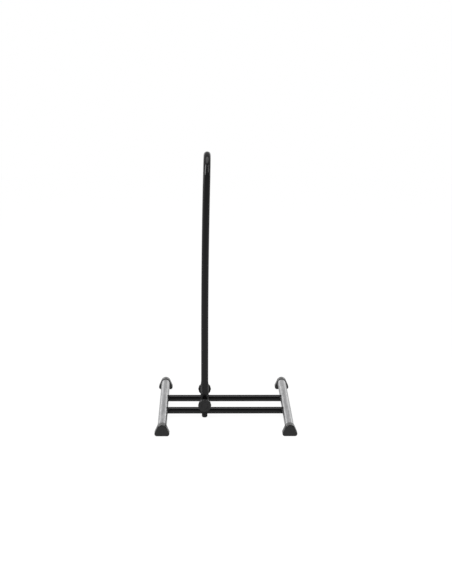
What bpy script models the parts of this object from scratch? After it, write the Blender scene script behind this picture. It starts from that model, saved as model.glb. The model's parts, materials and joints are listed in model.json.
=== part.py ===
"""Floor bike stand: two silver leg tubes on flared feet, joined by two black rails.
A tall hoop stands astride the wheel. Clamps on the rails hold its two ends, so the hoop slides
along the rails and folds down onto them once its two knobs are loosened.
Metres, +Z up, X along the rails, Y from the front to the rear, origin on the floor in the middle.
"""
import math

import bmesh
import bpy
from mathutils import Matrix, Vector

# Driving dimensions
CLEARANCE = 0.0003
OVERCUT = 0.010

LEG_SPACING = 0.350
LEG_DIAMETER = 0.025
LEG_WALL = 0.0015
LEG_AXIS_HEIGHT = 0.0194
BASE_DEPTH = 0.407

FOOT_LENGTH = 0.0215
FOOT_END_WALL = 0.004
FOOT_COLLAR_WALL = 0.0013
FOOT_BASE_WIDTH = 0.041
FOOT_CORNER_RADIUS = 0.0065
FOOT_EDGE_RADIUS = 0.0032
FOOT_BASE_EDGE_SHARE = 0.4
FOOT_MOUTH_RADIUS = 0.0006

RAIL_DIAMETER = 0.019
RAIL_WALL = 0.0015
RAIL_SPACING = 0.101

SADDLE_THICKNESS = 0.003
SPIGOT_LENGTH = 0.0177

HOOP_DIAMETER = 0.020
HOOP_WALL = 0.0015
HOOP_HEIGHT = 0.751
HOOP_X = -0.058
HOOP_BOW_START = 0.252
HOOP_BOW = 0.0064
PIVOT_RISE = 0.0218
FLAT_THICKNESS = 0.014
FLAT_RISE = 0.015
FLAT_TAPER = 0.0224
BUSH_DIAMETER = 0.0094

JAW_WALL = 0.0052
JAW_INNER_EXTRA = 0.0017
JAW_PARTING = 0.0005
JAW_SIDE_MARGIN = 0.00025
TONGUE_WIDTH = 0.0158
TONGUE_DROP = 0.0171
TONGUE_CORNER_RADIUS = 0.006
TONGUE_SHOULDER = 0.0005
JAW_EDGE = 0.0006
JAW_SCREW_DROP = 0.0127

KNOB_DIAMETER = 0.0371
KNOB_THICKNESS = 0.0095
KNOB_EDGE_RADIUS = 0.0026
KNOB_DOME = 0.0012
KNOB_FLUTES = 12
KNOB_FLUTE_DEPTH = 0.0008
KNOB_BOSS_DIAMETER = 0.015
KNOB_BOSS_HEIGHT = 0.0006
KNOB_SOCKET_DEPTH = 0.008
STUD_PROUD = 0.001
WASHER_DIAMETER = 0.016
WASHER_THICKNESS = 0.0012

# Threaded parts, each size as it is bought
M6_DIAMETER = 0.006
M6_NUT_WIDTH = 0.010
M6_NUT_HEIGHT = 0.005
M6_HEAD_DIAMETER = 0.0112
M6_HEAD_HEIGHT = 0.0026
M6_KEY_WIDTH = 0.004
M4_DIAMETER = 0.004
M4_NUT_WIDTH = 0.007
M4_NUT_HEIGHT = 0.0032
M4_HEAD_DIAMETER = 0.0072
M4_HEAD_HEIGHT = 0.0024
M4_KEY_WIDTH = 0.0025
KEY_DEPTH = 0.0018
HEAD_CROWN_SHARE = 0.6

# Facet counts
LEG_SIDES = 32
TUBE_SIDES = 24
HOOP_SIDES = 20
SMALL_SIDES = 12
ROUND_STEPS = 3
BEND_STEPS = 14
TAPER_STEPS = 4
BOW_STEPS = 6

# Sizes worked out from the driving dimensions
leg_radius = LEG_DIAMETER / 2
rail_radius = RAIL_DIAMETER / 2
hoop_radius = HOOP_DIAMETER / 2
leg_x = LEG_SPACING / 2
rail_y = RAIL_SPACING / 2
pivot_height = LEG_AXIS_HEIGHT + PIVOT_RISE
rail_half_length = leg_x - leg_radius - SADDLE_THICKNESS - 2 * CLEARANCE
seat_radius = rail_radius + CLEARANCE
m6_hole_radius = M6_DIAMETER / 2 + CLEARANCE
m4_hole_radius = M4_DIAMETER / 2 + CLEARANCE

# The flat top of a rail bolt's head lies where its rim meets the round of the leg
m6_head_radius = M6_HEAD_DIAMETER / 2
bolt_top = math.sqrt(leg_radius ** 2 - m6_head_radius ** 2)

# Pressing a round tube flat keeps its girth, which gives the width of the flat end
flat_straight = math.pi * (HOOP_DIAMETER - FLAT_THICKNESS) / 2
flat_half_width = (flat_straight + FLAT_THICKNESS) / 2

# Places in a clamp, measured outward from the middle plane of its rail
ear_inner = FLAT_THICKNESS / 2 + CLEARANCE
jaw_face = ear_inner + JAW_WALL
inner_jaw_face = jaw_face + JAW_INNER_EXTRA
jaw_half_width = flat_half_width + JAW_SIDE_MARGIN
washer_start = jaw_face + CLEARANCE
knob_start = washer_start + WASHER_THICKNESS + CLEARANCE
stud_nut_start = inner_jaw_face - M6_NUT_HEIGHT - CLEARANCE
jaw_nut_start = inner_jaw_face - M4_NUT_HEIGHT - CLEARANCE

# Turns local +Z, the axis that round pieces are drawn on, to the direction it has on the stand
TO_RIGHT = Matrix.Rotation(math.radians(90), 4, "Y")
TO_LEFT = Matrix.Rotation(math.radians(-90), 4, "Y")
TO_REAR = Matrix.Rotation(math.radians(-90), 4, "X")
TO_FRONT = Matrix.Rotation(math.radians(90), 4, "X")


def clear_scene():
    for obj in list(bpy.data.objects):
        bpy.data.objects.remove(obj)


def make_material(name, colour, roughness, metallic=0.0):
    material = bpy.data.materials.new(name)
    material.use_nodes = True
    shader = material.node_tree.nodes["Principled BSDF"]
    shader.inputs["Base Color"].default_value = (*colour, 1.0)
    shader.inputs["Roughness"].default_value = roughness
    shader.inputs["Metallic"].default_value = metallic
    return material


def circle(radius, height, sides=TUBE_SIDES):
    """A level ring of points round local Z."""
    angles = [2 * math.pi * step / sides for step in range(sides)]
    return [Vector((radius * math.cos(a), radius * math.sin(a), height)) for a in angles]


def hexagon(width, height, sides=SMALL_SIDES):
    """A ring of points on a hexagon that is width across its flats, as many as its round neighbours."""
    points = []
    for step in range(sides):
        angle = 2 * math.pi * step / sides
        from_flat = (angle + math.pi / 6) % (math.pi / 3) - math.pi / 6
        radius = width / 2 / math.cos(from_flat)
        points.append(Vector((radius * math.cos(angle), radius * math.sin(angle), height)))
    return points


def skin(bm, rings, place=Matrix.Identity(4), through=False):
    """Join rings of points into one closed body, capped at its ends or, with a bore, back to its start."""
    rows = [[bm.verts.new(place @ point) for point in ring] for ring in rings]
    pairs = list(zip(rows, rows[1:]))
    if through:
        pairs.append((rows[-1], rows[0]))
    for lower, upper in pairs:
        count = len(lower)
        for step in range(count):
            following = (step + 1) % count
            bm.faces.new((lower[step], lower[following], upper[following], upper[step]))
    if not through:
        bm.faces.new(list(reversed(rows[0])))
        bm.faces.new(rows[-1])


def prism(bm, outline, start, end):
    """Extrude an outline of (x, z) points along Y."""
    near = [Vector((x, start, z)) for x, z in outline]
    far = [Vector((x, end, z)) for x, z in outline]
    skin(bm, [near, far])


def arc(centre, radius, start, end, steps):
    """Points of an arc in a plane, from one angle in degrees to another."""
    points = []
    for step in range(steps + 1):
        angle = math.radians(start + (end - start) * step / steps)
        points.append((centre[0] + radius * math.cos(angle), centre[1] + radius * math.sin(angle)))
    return points


def make_mesh(name, bm, material=None, smooth_angle=35):
    """Turn a mesh in the making into a finished one with its faces out and its round sides smooth."""
    bmesh.ops.recalc_face_normals(bm, faces=bm.faces)
    mesh = bpy.data.meshes.new(name)
    bm.to_mesh(mesh)
    bm.free()
    mesh.shade_smooth()
    mesh.set_sharp_from_angle(angle=math.radians(smooth_angle))
    if material:
        mesh.materials.append(material)
    return mesh


def add_object(name, mesh, place=Matrix.Identity(4), parent=None):
    obj = bpy.data.objects.new(name, mesh)
    obj.parent = parent
    obj.matrix_local = place
    bpy.context.collection.objects.link(obj)
    return obj


def make_cutter(name, bm, parent=None):
    cutter = add_object(name, make_mesh(name, bm), parent=parent)
    cutter.hide_render = True
    cutter.display_type = "WIRE"
    return cutter


def cylinder_cutter(name, radius, start, end, place, sides=TUBE_SIDES, parent=None):
    bm = bmesh.new()
    skin(bm, [circle(radius, start, sides), circle(radius, end, sides)], place)
    return make_cutter(name, bm, parent)


def boolean(obj, cutter, operation="DIFFERENCE"):
    modifier = obj.modifiers.new(f"{operation.lower()}_{cutter.name}", "BOOLEAN")
    modifier.operation = operation
    modifier.solver = "EXACT"
    modifier.object = cutter


def make_empty(name, location, parent=None):
    empty = bpy.data.objects.new(name, None)
    empty.empty_display_size = 0.02
    empty.location = location
    empty.parent = parent
    bpy.context.collection.objects.link(empty)
    return empty


clear_scene()

satin_silver = make_material("satin_silver", (0.55, 0.55, 0.56), 0.35, 1.0)
black_paint = make_material("black_paint", (0.020, 0.020, 0.022), 0.38)
black_vinyl = make_material("black_vinyl", (0.024, 0.024, 0.024), 0.50)
black_nylon = make_material("black_nylon", (0.022, 0.022, 0.023), 0.50)
zinc_steel = make_material("zinc_steel", (0.60, 0.60, 0.58), 0.40, 1.0)
black_steel = make_material("black_steel", (0.05, 0.05, 0.05), 0.42, 1.0)


# Leg tubes, one under each end of the rails, cross drilled for the rail bolts and countersunk outside
leg_half_length = BASE_DEPTH / 2 - FOOT_END_WALL - CLEARANCE


def make_leg(name, x, outward):
    """outward turns local +Z to point away from the rails."""
    bm = bmesh.new()
    bore = leg_radius - LEG_WALL
    rings = [
        circle(bore, -leg_half_length, LEG_SIDES),
        circle(leg_radius, -leg_half_length, LEG_SIDES),
        circle(leg_radius, leg_half_length, LEG_SIDES),
        circle(bore, leg_half_length, LEG_SIDES),
    ]
    skin(bm, rings, TO_REAR, through=True)
    leg = add_object(name, make_mesh(name, bm, satin_silver), Matrix.Translation((x, 0, LEG_AXIS_HEIGHT)))
    for end, y in (("front", -rail_y), ("rear", rail_y)):
        place = Matrix.Translation((x, y, LEG_AXIS_HEIGHT)) @ outward
        past = leg_radius + OVERCUT
        head_hole = m6_head_radius + CLEARANCE
        profile = [(m6_hole_radius, -past), (m6_hole_radius, bolt_top - M6_HEAD_HEIGHT)]
        profile += [(head_hole, bolt_top), (head_hole, past)]
        bm = bmesh.new()
        skin(bm, [circle(radius, z, SMALL_SIDES) for radius, z in profile], place)
        boolean(leg, make_cutter(f"{name}_{end}_bolt_hole", bm))


make_leg("left_leg_tube", -leg_x, TO_LEFT)
make_leg("right_leg_tube", leg_x, TO_RIGHT)


def between(start, end, steps):
    """Points inside a straight line, at even angles as seen from the origin."""
    first = math.atan2(start[1], start[0])
    turn = (math.atan2(end[1], end[0]) - first) % (2 * math.pi)
    run = (end[0] - start[0], end[1] - start[1])
    points = []
    for step in range(1, steps):
        angle = first + turn * step / steps
        ray = (math.cos(angle), math.sin(angle))
        far = (start[0] * run[1] - start[1] * run[0]) / (ray[0] * run[1] - ray[1] * run[0])
        points.append((ray[0] * far, ray[1] * far))
    return points


# Feet, moulded caps pushed over the leg ends, flared below the tube so that the stand can't roll
def foot_outline(inset):
    """The foot from its outer end as (x, z) from the leg axis: an arch over the tube, down to two corners."""
    arch_radius = leg_radius + CLEARANCE + FOOT_COLLAR_WALL
    corner_radius = FOOT_CORNER_RADIUS
    corner_x = FOOT_BASE_WIDTH / 2 - corner_radius
    corner_z = corner_radius - LEG_AXIS_HEIGHT
    reach = math.hypot(corner_x, corner_z)
    flank = math.degrees(math.atan2(corner_z, corner_x) + math.acos((arch_radius - corner_radius) / reach))
    right_corner = arc((corner_x, corner_z), corner_radius - inset, -90, flank, 4)
    over = arc((0, 0), arch_radius - inset, flank, 180 - flank, 10)
    left_corner = arc((-corner_x, corner_z), corner_radius - inset, 180 - flank, 270, 4)
    right_side = between(right_corner[-1], over[0], 4)
    left_side = between(over[-1], left_corner[0], 4)
    base = between(left_corner[-1], right_corner[0], 6)
    return right_corner + right_side + over + left_side + left_corner + base


def foot_ring(inset, depth):
    """The outline drawn in for the rounded edge, and less so at the base than over the tube."""
    points = []
    for x, z in foot_outline(inset):
        lowered = (1 - FOOT_BASE_EDGE_SHARE) * inset * max(0, -z) / LEG_AXIS_HEIGHT
        points.append(Vector((x, depth, z - lowered)))
    return points


def bore_ring(radius, depth):
    """A round ring whose points lie in line with the outline's, seen from the leg axis."""
    points = []
    for x, z in foot_outline(0):
        scale = radius / math.hypot(x, z)
        points.append(Vector((x * scale, depth, z * scale)))
    return points


def make_foot_mesh():
    bm = bmesh.new()
    bore = leg_radius + CLEARANCE
    rings = [foot_ring(FOOT_EDGE_RADIUS, 0)]
    for step in range(1, ROUND_STEPS + 1):
        angle = math.pi / 2 * step / ROUND_STEPS
        inset = FOOT_EDGE_RADIUS * (1 - math.sin(angle))
        depth = FOOT_EDGE_RADIUS * (1 - math.cos(angle))
        rings.append(foot_ring(inset, depth))
    rings.append(foot_ring(0, FOOT_LENGTH - FOOT_MOUTH_RADIUS))
    rings.append(foot_ring(FOOT_MOUTH_RADIUS, FOOT_LENGTH))
    rings.append(bore_ring(bore, FOOT_LENGTH))
    rings.append(bore_ring(bore, FOOT_END_WALL))
    skin(bm, rings)
    return make_mesh("foot", bm, black_vinyl)


foot_mesh = make_foot_mesh()
half_turn = Matrix.Rotation(math.pi, 4, "Z")
for side, x in (("left", -leg_x), ("right", leg_x)):
    front = Matrix.Translation((x, -BASE_DEPTH / 2, LEG_AXIS_HEIGHT))
    rear = Matrix.Translation((x, BASE_DEPTH / 2, LEG_AXIS_HEIGHT))
    add_object(f"front_{side}_foot", foot_mesh, front)
    add_object(f"rear_{side}_foot", foot_mesh, rear @ half_turn)


# Rails, round tubes from leg to leg that carry the hoop's clamps
bm = bmesh.new()
rail_bore = rail_radius - RAIL_WALL
rings = [
    circle(rail_bore, -rail_half_length),
    circle(rail_radius, -rail_half_length),
    circle(rail_radius, rail_half_length),
    circle(rail_bore, rail_half_length),
]
skin(bm, rings, TO_RIGHT, through=True)
rail_mesh = make_mesh("rail", bm, black_paint)
add_object("front_rail", rail_mesh, Matrix.Translation((0, -rail_y, LEG_AXIS_HEIGHT)))
add_object("rear_rail", rail_mesh, Matrix.Translation((0, rail_y, LEG_AXIS_HEIGHT)))

# The four corners where a rail meets a leg, with local +Z from the rail out through the leg
corners = {
    "front_left": Matrix.Translation((-leg_x, -rail_y, LEG_AXIS_HEIGHT)) @ TO_LEFT,
    "front_right": Matrix.Translation((leg_x, -rail_y, LEG_AXIS_HEIGHT)) @ TO_RIGHT,
    "rear_left": Matrix.Translation((-leg_x, rail_y, LEG_AXIS_HEIGHT)) @ TO_LEFT,
    "rear_right": Matrix.Translation((leg_x, rail_y, LEG_AXIS_HEIGHT)) @ TO_RIGHT,
}


def leg_shaped_cutter(name, x):
    place = Matrix.Translation((x, 0, LEG_AXIS_HEIGHT)) @ TO_REAR
    past = rail_y + rail_radius + OVERCUT
    return cylinder_cutter(name, leg_radius + CLEARANCE, -past, past, place, LEG_SIDES)


leg_shapes = {
    "left": leg_shaped_cutter("left_leg_shape", -leg_x),
    "right": leg_shaped_cutter("right_leg_shape", leg_x),
}


def add_at_corners(label, mesh):
    return {corner: add_object(f"{corner}_{label}", mesh, place) for corner, place in corners.items()}


def hollow_for_leg(pieces):
    for corner, piece in pieces.items():
        boolean(piece, leg_shapes[corner.split("_")[1]])


# Rail end plugs: a spigot in the rail's bore, and a collar with a hollow that fits round the leg
inside_leg = leg_radius / 2
rail_end = -(leg_x - rail_half_length)
spigot_end = rail_end - SPIGOT_LENGTH
spigot_radius = rail_radius - RAIL_WALL - CLEARANCE
pocket_floor = spigot_end + M6_NUT_HEIGHT + CLEARANCE
pocket_width = M6_NUT_WIDTH + 2 * CLEARANCE

bm = bmesh.new()
rings = [
    hexagon(pocket_width, spigot_end, TUBE_SIDES),
    circle(spigot_radius, spigot_end),
    circle(spigot_radius, rail_end + CLEARANCE),
    circle(rail_radius, rail_end + CLEARANCE),
    circle(rail_radius, -inside_leg),
    circle(m6_hole_radius, -inside_leg),
    circle(m6_hole_radius, pocket_floor),
    hexagon(pocket_width, pocket_floor, TUBE_SIDES),
]
skin(bm, rings, through=True)
hollow_for_leg(add_at_corners("rail_plug", make_mesh("rail_plug", bm, black_nylon)))


# Rail nuts, held in the pockets of the plugs
def nut_mesh(name, width, hole_radius, start, height):
    bm = bmesh.new()
    rings = [
        circle(hole_radius, start, SMALL_SIDES),
        hexagon(width, start),
        hexagon(width, start + height),
        circle(hole_radius, start + height, SMALL_SIDES),
    ]
    skin(bm, rings, through=True)
    return make_mesh(name, bm, zinc_steel)


add_at_corners("rail_nut", nut_mesh("rail_nut", M6_NUT_WIDTH, m6_hole_radius, spigot_end, M6_NUT_HEIGHT))


# Screws, each with a hexagon key hole in its head
def screw_mesh(name, material, profile, key_width):
    """A screw along local Z, its profile given as (radius, z) from its tip to the flat top of its head."""
    top = profile[-1][1]
    rings = [circle(radius, z, SMALL_SIDES) for radius, z in profile]
    rings.append(hexagon(key_width, top))
    rings.append(hexagon(key_width, top - KEY_DEPTH))
    bm = bmesh.new()
    skin(bm, rings)
    return make_mesh(name, bm, material)


# Rail bolts, countersunk flush in the outside of the leg, through it into the nut in the rail's end
bolt_profile = [(M6_DIAMETER / 2, spigot_end), (M6_DIAMETER / 2, bolt_top - M6_HEAD_HEIGHT)]
bolt_profile.append((m6_head_radius, bolt_top))
add_at_corners("rail_bolt", screw_mesh("rail_bolt", zinc_steel, bolt_profile, M6_KEY_WIDTH))


# Frames for what moves: the carriage slides along the rails and the hoop turns on the pivot axis
carriage_origin = make_empty("carriage_origin", (HOOP_X, 0, LEG_AXIS_HEIGHT))
pivot_origin = make_empty("pivot_origin", (0, 0, PIVOT_RISE), carriage_origin)


# Hoop, one bent tube over the wheel, each end pressed flat and rounded about the pivot
def hoop_section(thickness, wall):
    """Section of the tube at one station: half rounds of this thickness, pushed apart when pressed flat."""
    straight = math.pi * (HOOP_DIAMETER - thickness) / 2
    corner_radius = (thickness / 2 - wall) / math.cos(math.pi / HOOP_SIDES)
    points = []
    for step in range(HOOP_SIDES):
        angle = 2 * math.pi * (step + 0.5) / HOOP_SIDES
        x = corner_radius * math.cos(angle)
        points.append((x + math.copysign(straight / 2, x), corner_radius * math.sin(angle)))
    return points


def hoop_bow(height):
    """The tall legs lean gently to the right above a certain height."""
    share = max(0.0, height - HOOP_BOW_START) / (HOOP_HEIGHT - HOOP_BOW_START)
    return HOOP_BOW * share * share


tube_below_pivot = flat_half_width + OVERCUT


def leg_stations():
    """Heights above the pivot along one leg, each with the thickness of the tube there."""
    stations = [(-tube_below_pivot, FLAT_THICKNESS), (FLAT_RISE, FLAT_THICKNESS)]
    for step in range(1, TAPER_STEPS + 1):
        share = step / TAPER_STEPS
        eased = share * share * (3 - 2 * share)
        thickness = FLAT_THICKNESS + (HOOP_DIAMETER - FLAT_THICKNESS) * eased
        stations.append((FLAT_RISE + FLAT_TAPER * share, thickness))
    bend_height = HOOP_HEIGHT - hoop_radius - rail_y - pivot_height
    bow_start = HOOP_BOW_START - pivot_height
    for step in range(BOW_STEPS):
        stations.append((bow_start + (bend_height - bow_start) * step / BOW_STEPS, HOOP_DIAMETER))
    return stations, bend_height


def hoop_rings(wall):
    """Rings of the tube from the front end, over the top and down to the rear end."""
    stations, bend_height = leg_stations()
    path = [(-rail_y, height, 0.0, thickness) for height, thickness in stations]
    for step in range(BEND_STEPS + 1):
        angle = math.pi * step / BEND_STEPS
        y = -rail_y * math.cos(angle)
        path.append((y, bend_height + rail_y * math.sin(angle), angle, HOOP_DIAMETER))
    path += [(rail_y, height, math.pi, thickness) for height, thickness in reversed(stations)]
    rings = []
    for y, height, angle, thickness in path:
        across = Vector((0, math.cos(angle), -math.sin(angle)))
        ring = []
        for x, outward in hoop_section(thickness, wall):
            point = Vector((x, y, height)) + across * outward
            point.x += hoop_bow(point.z + pivot_height)
            ring.append(point)
        rings.append(ring)
    return rings


bm = bmesh.new()
skin(bm, hoop_rings(0) + list(reversed(hoop_rings(HOOP_WALL))), through=True)
hoop = add_object("hoop_tube", make_mesh("hoop_tube", bm, black_paint), parent=pivot_origin)

past_side = flat_half_width + OVERCUT
past_end = tube_below_pivot + OVERCUT
past_clamps = rail_y + hoop_radius + OVERCUT
end_outline = [(past_side, -past_end), (past_side, 0)]
end_outline += arc((0, 0), flat_half_width, 0, -180, 16)
end_outline += [(-past_side, 0), (-past_side, -past_end)]
bm = bmesh.new()
prism(bm, end_outline, -past_clamps, past_clamps)
boolean(hoop, make_cutter("hoop_end_rounding", bm, pivot_origin))
boolean(hoop, cylinder_cutter("bush_hole", BUSH_DIAMETER / 2 + CLEARANCE, -past_clamps, past_clamps, TO_REAR,
                              parent=pivot_origin))

# Pivot bushes, sleeves through the flat ends that stop the knob from crushing the tube
bush_half = FLAT_THICKNESS / 2
bm = bmesh.new()
rings = [
    circle(m6_hole_radius, -bush_half, SMALL_SIDES),
    circle(BUSH_DIAMETER / 2, -bush_half, SMALL_SIDES),
    circle(BUSH_DIAMETER / 2, bush_half, SMALL_SIDES),
    circle(m6_hole_radius, bush_half, SMALL_SIDES),
]
skin(bm, rings, TO_REAR, through=True)
bush_mesh = make_mesh("pivot_bush", bm, zinc_steel)
add_object("front_pivot_bush", bush_mesh, Matrix.Translation((0, -rail_y, 0)), pivot_origin)
add_object("rear_pivot_bush", bush_mesh, Matrix.Translation((0, rail_y, 0)), pivot_origin)


# Clamp jaws, an outer and an inner half round each rail, with an ear beside the hoop's end above
# and a rounded tongue below
def jaw_front_outline():
    """The jaw seen along Y, as (x, z) from the rail's axis."""
    tongue = TONGUE_WIDTH / 2
    corner = TONGUE_CORNER_RADIUS
    corner_z = corner - TONGUE_DROP
    shoulder_top = jaw_half_width - tongue - TONGUE_SHOULDER
    points = arc((tongue - corner, corner_z), corner, -90, 0, 4)
    points.append((tongue, -TONGUE_SHOULDER))
    points.append((jaw_half_width, shoulder_top))
    points += arc((0, PIVOT_RISE), jaw_half_width, 0, 180, 14)
    points.append((-jaw_half_width, shoulder_top))
    points.append((-tongue, -TONGUE_SHOULDER))
    points += arc((corner - tongue, corner_z), corner, 180, 270, 4)
    return points


def jaw_side_outline(face):
    """The jaw seen along X, as (outward, z) from the rail's axis: ear above, rail seat, tongue below."""
    top = PIVOT_RISE + jaw_half_width + OVERCUT
    bottom = -TONGUE_DROP - OVERCUT
    upper = math.degrees(math.acos(ear_inner / seat_radius))
    lower = -math.degrees(math.acos(JAW_PARTING / seat_radius))
    points = [(JAW_PARTING, bottom), (face, bottom), (face, top), (ear_inner, top)]
    return points + arc((0, 0), seat_radius, upper, lower, 12)


def make_jaw(name, y, facing, face):
    """facing is the Y direction, 1 or -1, from the rail toward this jaw."""
    bm = bmesh.new()
    past = jaw_half_width + OVERCUT
    near = [Vector((-past, outward, z)) for outward, z in jaw_side_outline(face)]
    far = [Vector((past, outward, z)) for outward, z in jaw_side_outline(face)]
    skin(bm, [near, far])
    place = Matrix.Translation((0, y, 0))
    if facing < 0:
        place = place @ half_turn
    jaw = add_object(name, make_mesh(name, bm, black_nylon), place, carriage_origin)

    bm = bmesh.new()
    prism(bm, jaw_front_outline(), -OVERCUT, face + OVERCUT)
    boolean(jaw, make_cutter(f"{name}_shape", bm, jaw), "INTERSECT")

    edges = jaw.modifiers.new("softened_edges", "BEVEL")
    edges.width = JAW_EDGE
    edges.segments = 1
    edges.limit_method = "ANGLE"
    edges.angle_limit = math.radians(50)

    holes = (("stud_hole", PIVOT_RISE, m6_hole_radius), ("screw_hole", -JAW_SCREW_DROP, m4_hole_radius))
    for hole_name, z, radius in holes:
        place = Matrix.Translation((0, 0, z)) @ TO_REAR
        boolean(jaw, cylinder_cutter(f"{name}_{hole_name}", radius, -OVERCUT, face + OVERCUT, place,
                                     SMALL_SIDES, jaw))
    return jaw


def cut_nut_pocket(jaw, label, z, width, start, turned=Matrix.Identity(4)):
    bm = bmesh.new()
    place = Matrix.Translation((0, 0, z)) @ TO_REAR @ turned
    skin(bm, [hexagon(width, start), hexagon(width, inner_jaw_face + OVERCUT)], place)
    boolean(jaw, make_cutter(f"{jaw.name}_{label}_pocket", bm, jaw))


# The small nuts stand with a flat down, which leaves the tongue a wall below them
FLAT_DOWN = Matrix.Rotation(math.radians(30), 4, "Z")

for end, y, outward in (("front", -rail_y, -1), ("rear", rail_y, 1)):
    make_jaw(f"{end}_outer_jaw", y, outward, jaw_face)
    inner = make_jaw(f"{end}_inner_jaw", y, -outward, inner_jaw_face)
    cut_nut_pocket(inner, "stud_nut", PIVOT_RISE, pocket_width, stud_nut_start - CLEARANCE)
    cut_nut_pocket(inner, "screw_nut", -JAW_SCREW_DROP, M4_NUT_WIDTH + 2 * CLEARANCE,
                   jaw_nut_start - CLEARANCE, FLAT_DOWN)

# Frames on each clamp with local +Z outward, away from the other clamp
clamp_frames = {
    "front": Matrix.Translation((0, -rail_y, 0)) @ TO_FRONT,
    "rear": Matrix.Translation((0, rail_y, 0)) @ TO_REAR,
}


def add_at_clamps(label, mesh, height, turned=Matrix.Identity(4)):
    for end, frame in clamp_frames.items():
        place = Matrix.Translation((0, 0, height)) @ frame @ turned
        add_object(f"{end}_{label}", mesh, place, carriage_origin)


# Jaw screws and their nuts, below the rails, hold the two halves of a clamp together as a hinge
crown_angle = math.acos(HEAD_CROWN_SHARE)
screw_seat = jaw_face + CLEARANCE
screw_profile = [(M4_DIAMETER / 2, -inner_jaw_face), (M4_DIAMETER / 2, screw_seat)]
for step in range(ROUND_STEPS + 1):
    angle = crown_angle * step / ROUND_STEPS
    height = screw_seat + M4_HEAD_HEIGHT * math.sin(angle) / math.sin(crown_angle)
    screw_profile.append((M4_HEAD_DIAMETER / 2 * math.cos(angle), height))
add_at_clamps("jaw_screw", screw_mesh("jaw_screw", black_steel, screw_profile, M4_KEY_WIDTH), -JAW_SCREW_DROP)
jaw_nut_end = -(jaw_nut_start + M4_NUT_HEIGHT)
add_at_clamps("jaw_nut", nut_mesh("jaw_nut", M4_NUT_WIDTH, m4_hole_radius, jaw_nut_end, M4_NUT_HEIGHT),
              -JAW_SCREW_DROP, FLAT_DOWN)

# Stud nuts, held in the inner jaws' ears
stud_nut_end = -(stud_nut_start + M6_NUT_HEIGHT)
add_at_clamps("stud_nut", nut_mesh("stud_nut", M6_NUT_WIDTH, m6_hole_radius, stud_nut_end, M6_NUT_HEIGHT),
              PIVOT_RISE)


# Knobs, fluted discs moulded on a threaded stud, one on the outside of each clamp
def fluted(radius, height, depth):
    """A ring with shallow flutes, four points to each."""
    sides = KNOB_FLUTES * 4
    points = []
    for step in range(sides):
        angle = 2 * math.pi * step / sides
        dip = depth * (1 - math.cos(KNOB_FLUTES * angle)) / 2
        r = radius - dip
        points.append(Vector((r * math.cos(angle), r * math.sin(angle), height)))
    return points


def knob_rings():
    sides = KNOB_FLUTES * 4
    radius = KNOB_DIAMETER / 2
    back = knob_start + KNOB_BOSS_HEIGHT
    front = back + KNOB_THICKNESS
    hole = m6_hole_radius
    rings = [
        circle(hole, knob_start + KNOB_SOCKET_DEPTH, sides),
        circle(hole, knob_start, sides),
        circle(KNOB_BOSS_DIAMETER / 2, knob_start, sides),
        circle(KNOB_BOSS_DIAMETER / 2, back, sides),
    ]
    flat = radius - KNOB_EDGE_RADIUS
    rings.append(fluted(flat, back, 0))
    for step in range(1, ROUND_STEPS + 1):
        angle = math.pi / 2 * step / ROUND_STEPS
        share = math.sin(angle)
        rings.append(fluted(flat + KNOB_EDGE_RADIUS * share, back + KNOB_EDGE_RADIUS * (1 - math.cos(angle)),
                            KNOB_FLUTE_DEPTH * share))
    for step in range(ROUND_STEPS, 0, -1):
        angle = math.pi / 2 * step / ROUND_STEPS
        share = math.sin(angle)
        rings.append(fluted(flat + KNOB_EDGE_RADIUS * share, front - KNOB_EDGE_RADIUS * (1 - math.cos(angle)),
                            KNOB_FLUTE_DEPTH * share))
    rings.append(fluted(flat, front, 0))
    for step in range(1, ROUND_STEPS + 1):
        share = step / ROUND_STEPS
        height = front + KNOB_DOME * math.sin(math.pi / 2 * share)
        rings.append(circle(flat + (hole - flat) * share, height, sides))
    return rings


bm = bmesh.new()
skin(bm, knob_rings())
knob_mesh = make_mesh("knob", bm, black_nylon)

# Knob studs, threaded rods held in the knobs, each through its clamp into the stud nut
bm = bmesh.new()
stud_start = -(inner_jaw_face + STUD_PROUD)
stud_end = knob_start + KNOB_SOCKET_DEPTH - CLEARANCE
skin(bm, [circle(M6_DIAMETER / 2, z, SMALL_SIDES) for z in (stud_start, stud_end)])
stud_mesh = make_mesh("knob_stud", bm, zinc_steel)

# Knob washers, between each knob and its outer jaw
bm = bmesh.new()
washer_end = washer_start + WASHER_THICKNESS
rings = [
    circle(m6_hole_radius, washer_start),
    circle(WASHER_DIAMETER / 2, washer_start),
    circle(WASHER_DIAMETER / 2, washer_end),
    circle(m6_hole_radius, washer_end),
]
skin(bm, rings, through=True)
washer_mesh = make_mesh("knob_washer", bm, zinc_steel)

# Each knob turns about an axis of its own, in line with the hoop's pivot
for end, frame in clamp_frames.items():
    knob_axis = make_empty(f"{end}_knob_axis", (0, 0, PIVOT_RISE), carriage_origin)
    add_object(f"{end}_knob", knob_mesh, frame, knob_axis)
    add_object(f"{end}_knob_stud", stud_mesh, frame, knob_axis)
    add_object(f"{end}_knob_washer", washer_mesh, frame, knob_axis)

bpy.context.view_layer.update()
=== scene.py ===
"""Looks of the floor bike stand: silver legs on moulded feet, black rails, and a tall folding hoop."""
import json
import math

import bmesh
import bpy
from mathutils import Matrix, Vector

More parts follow.
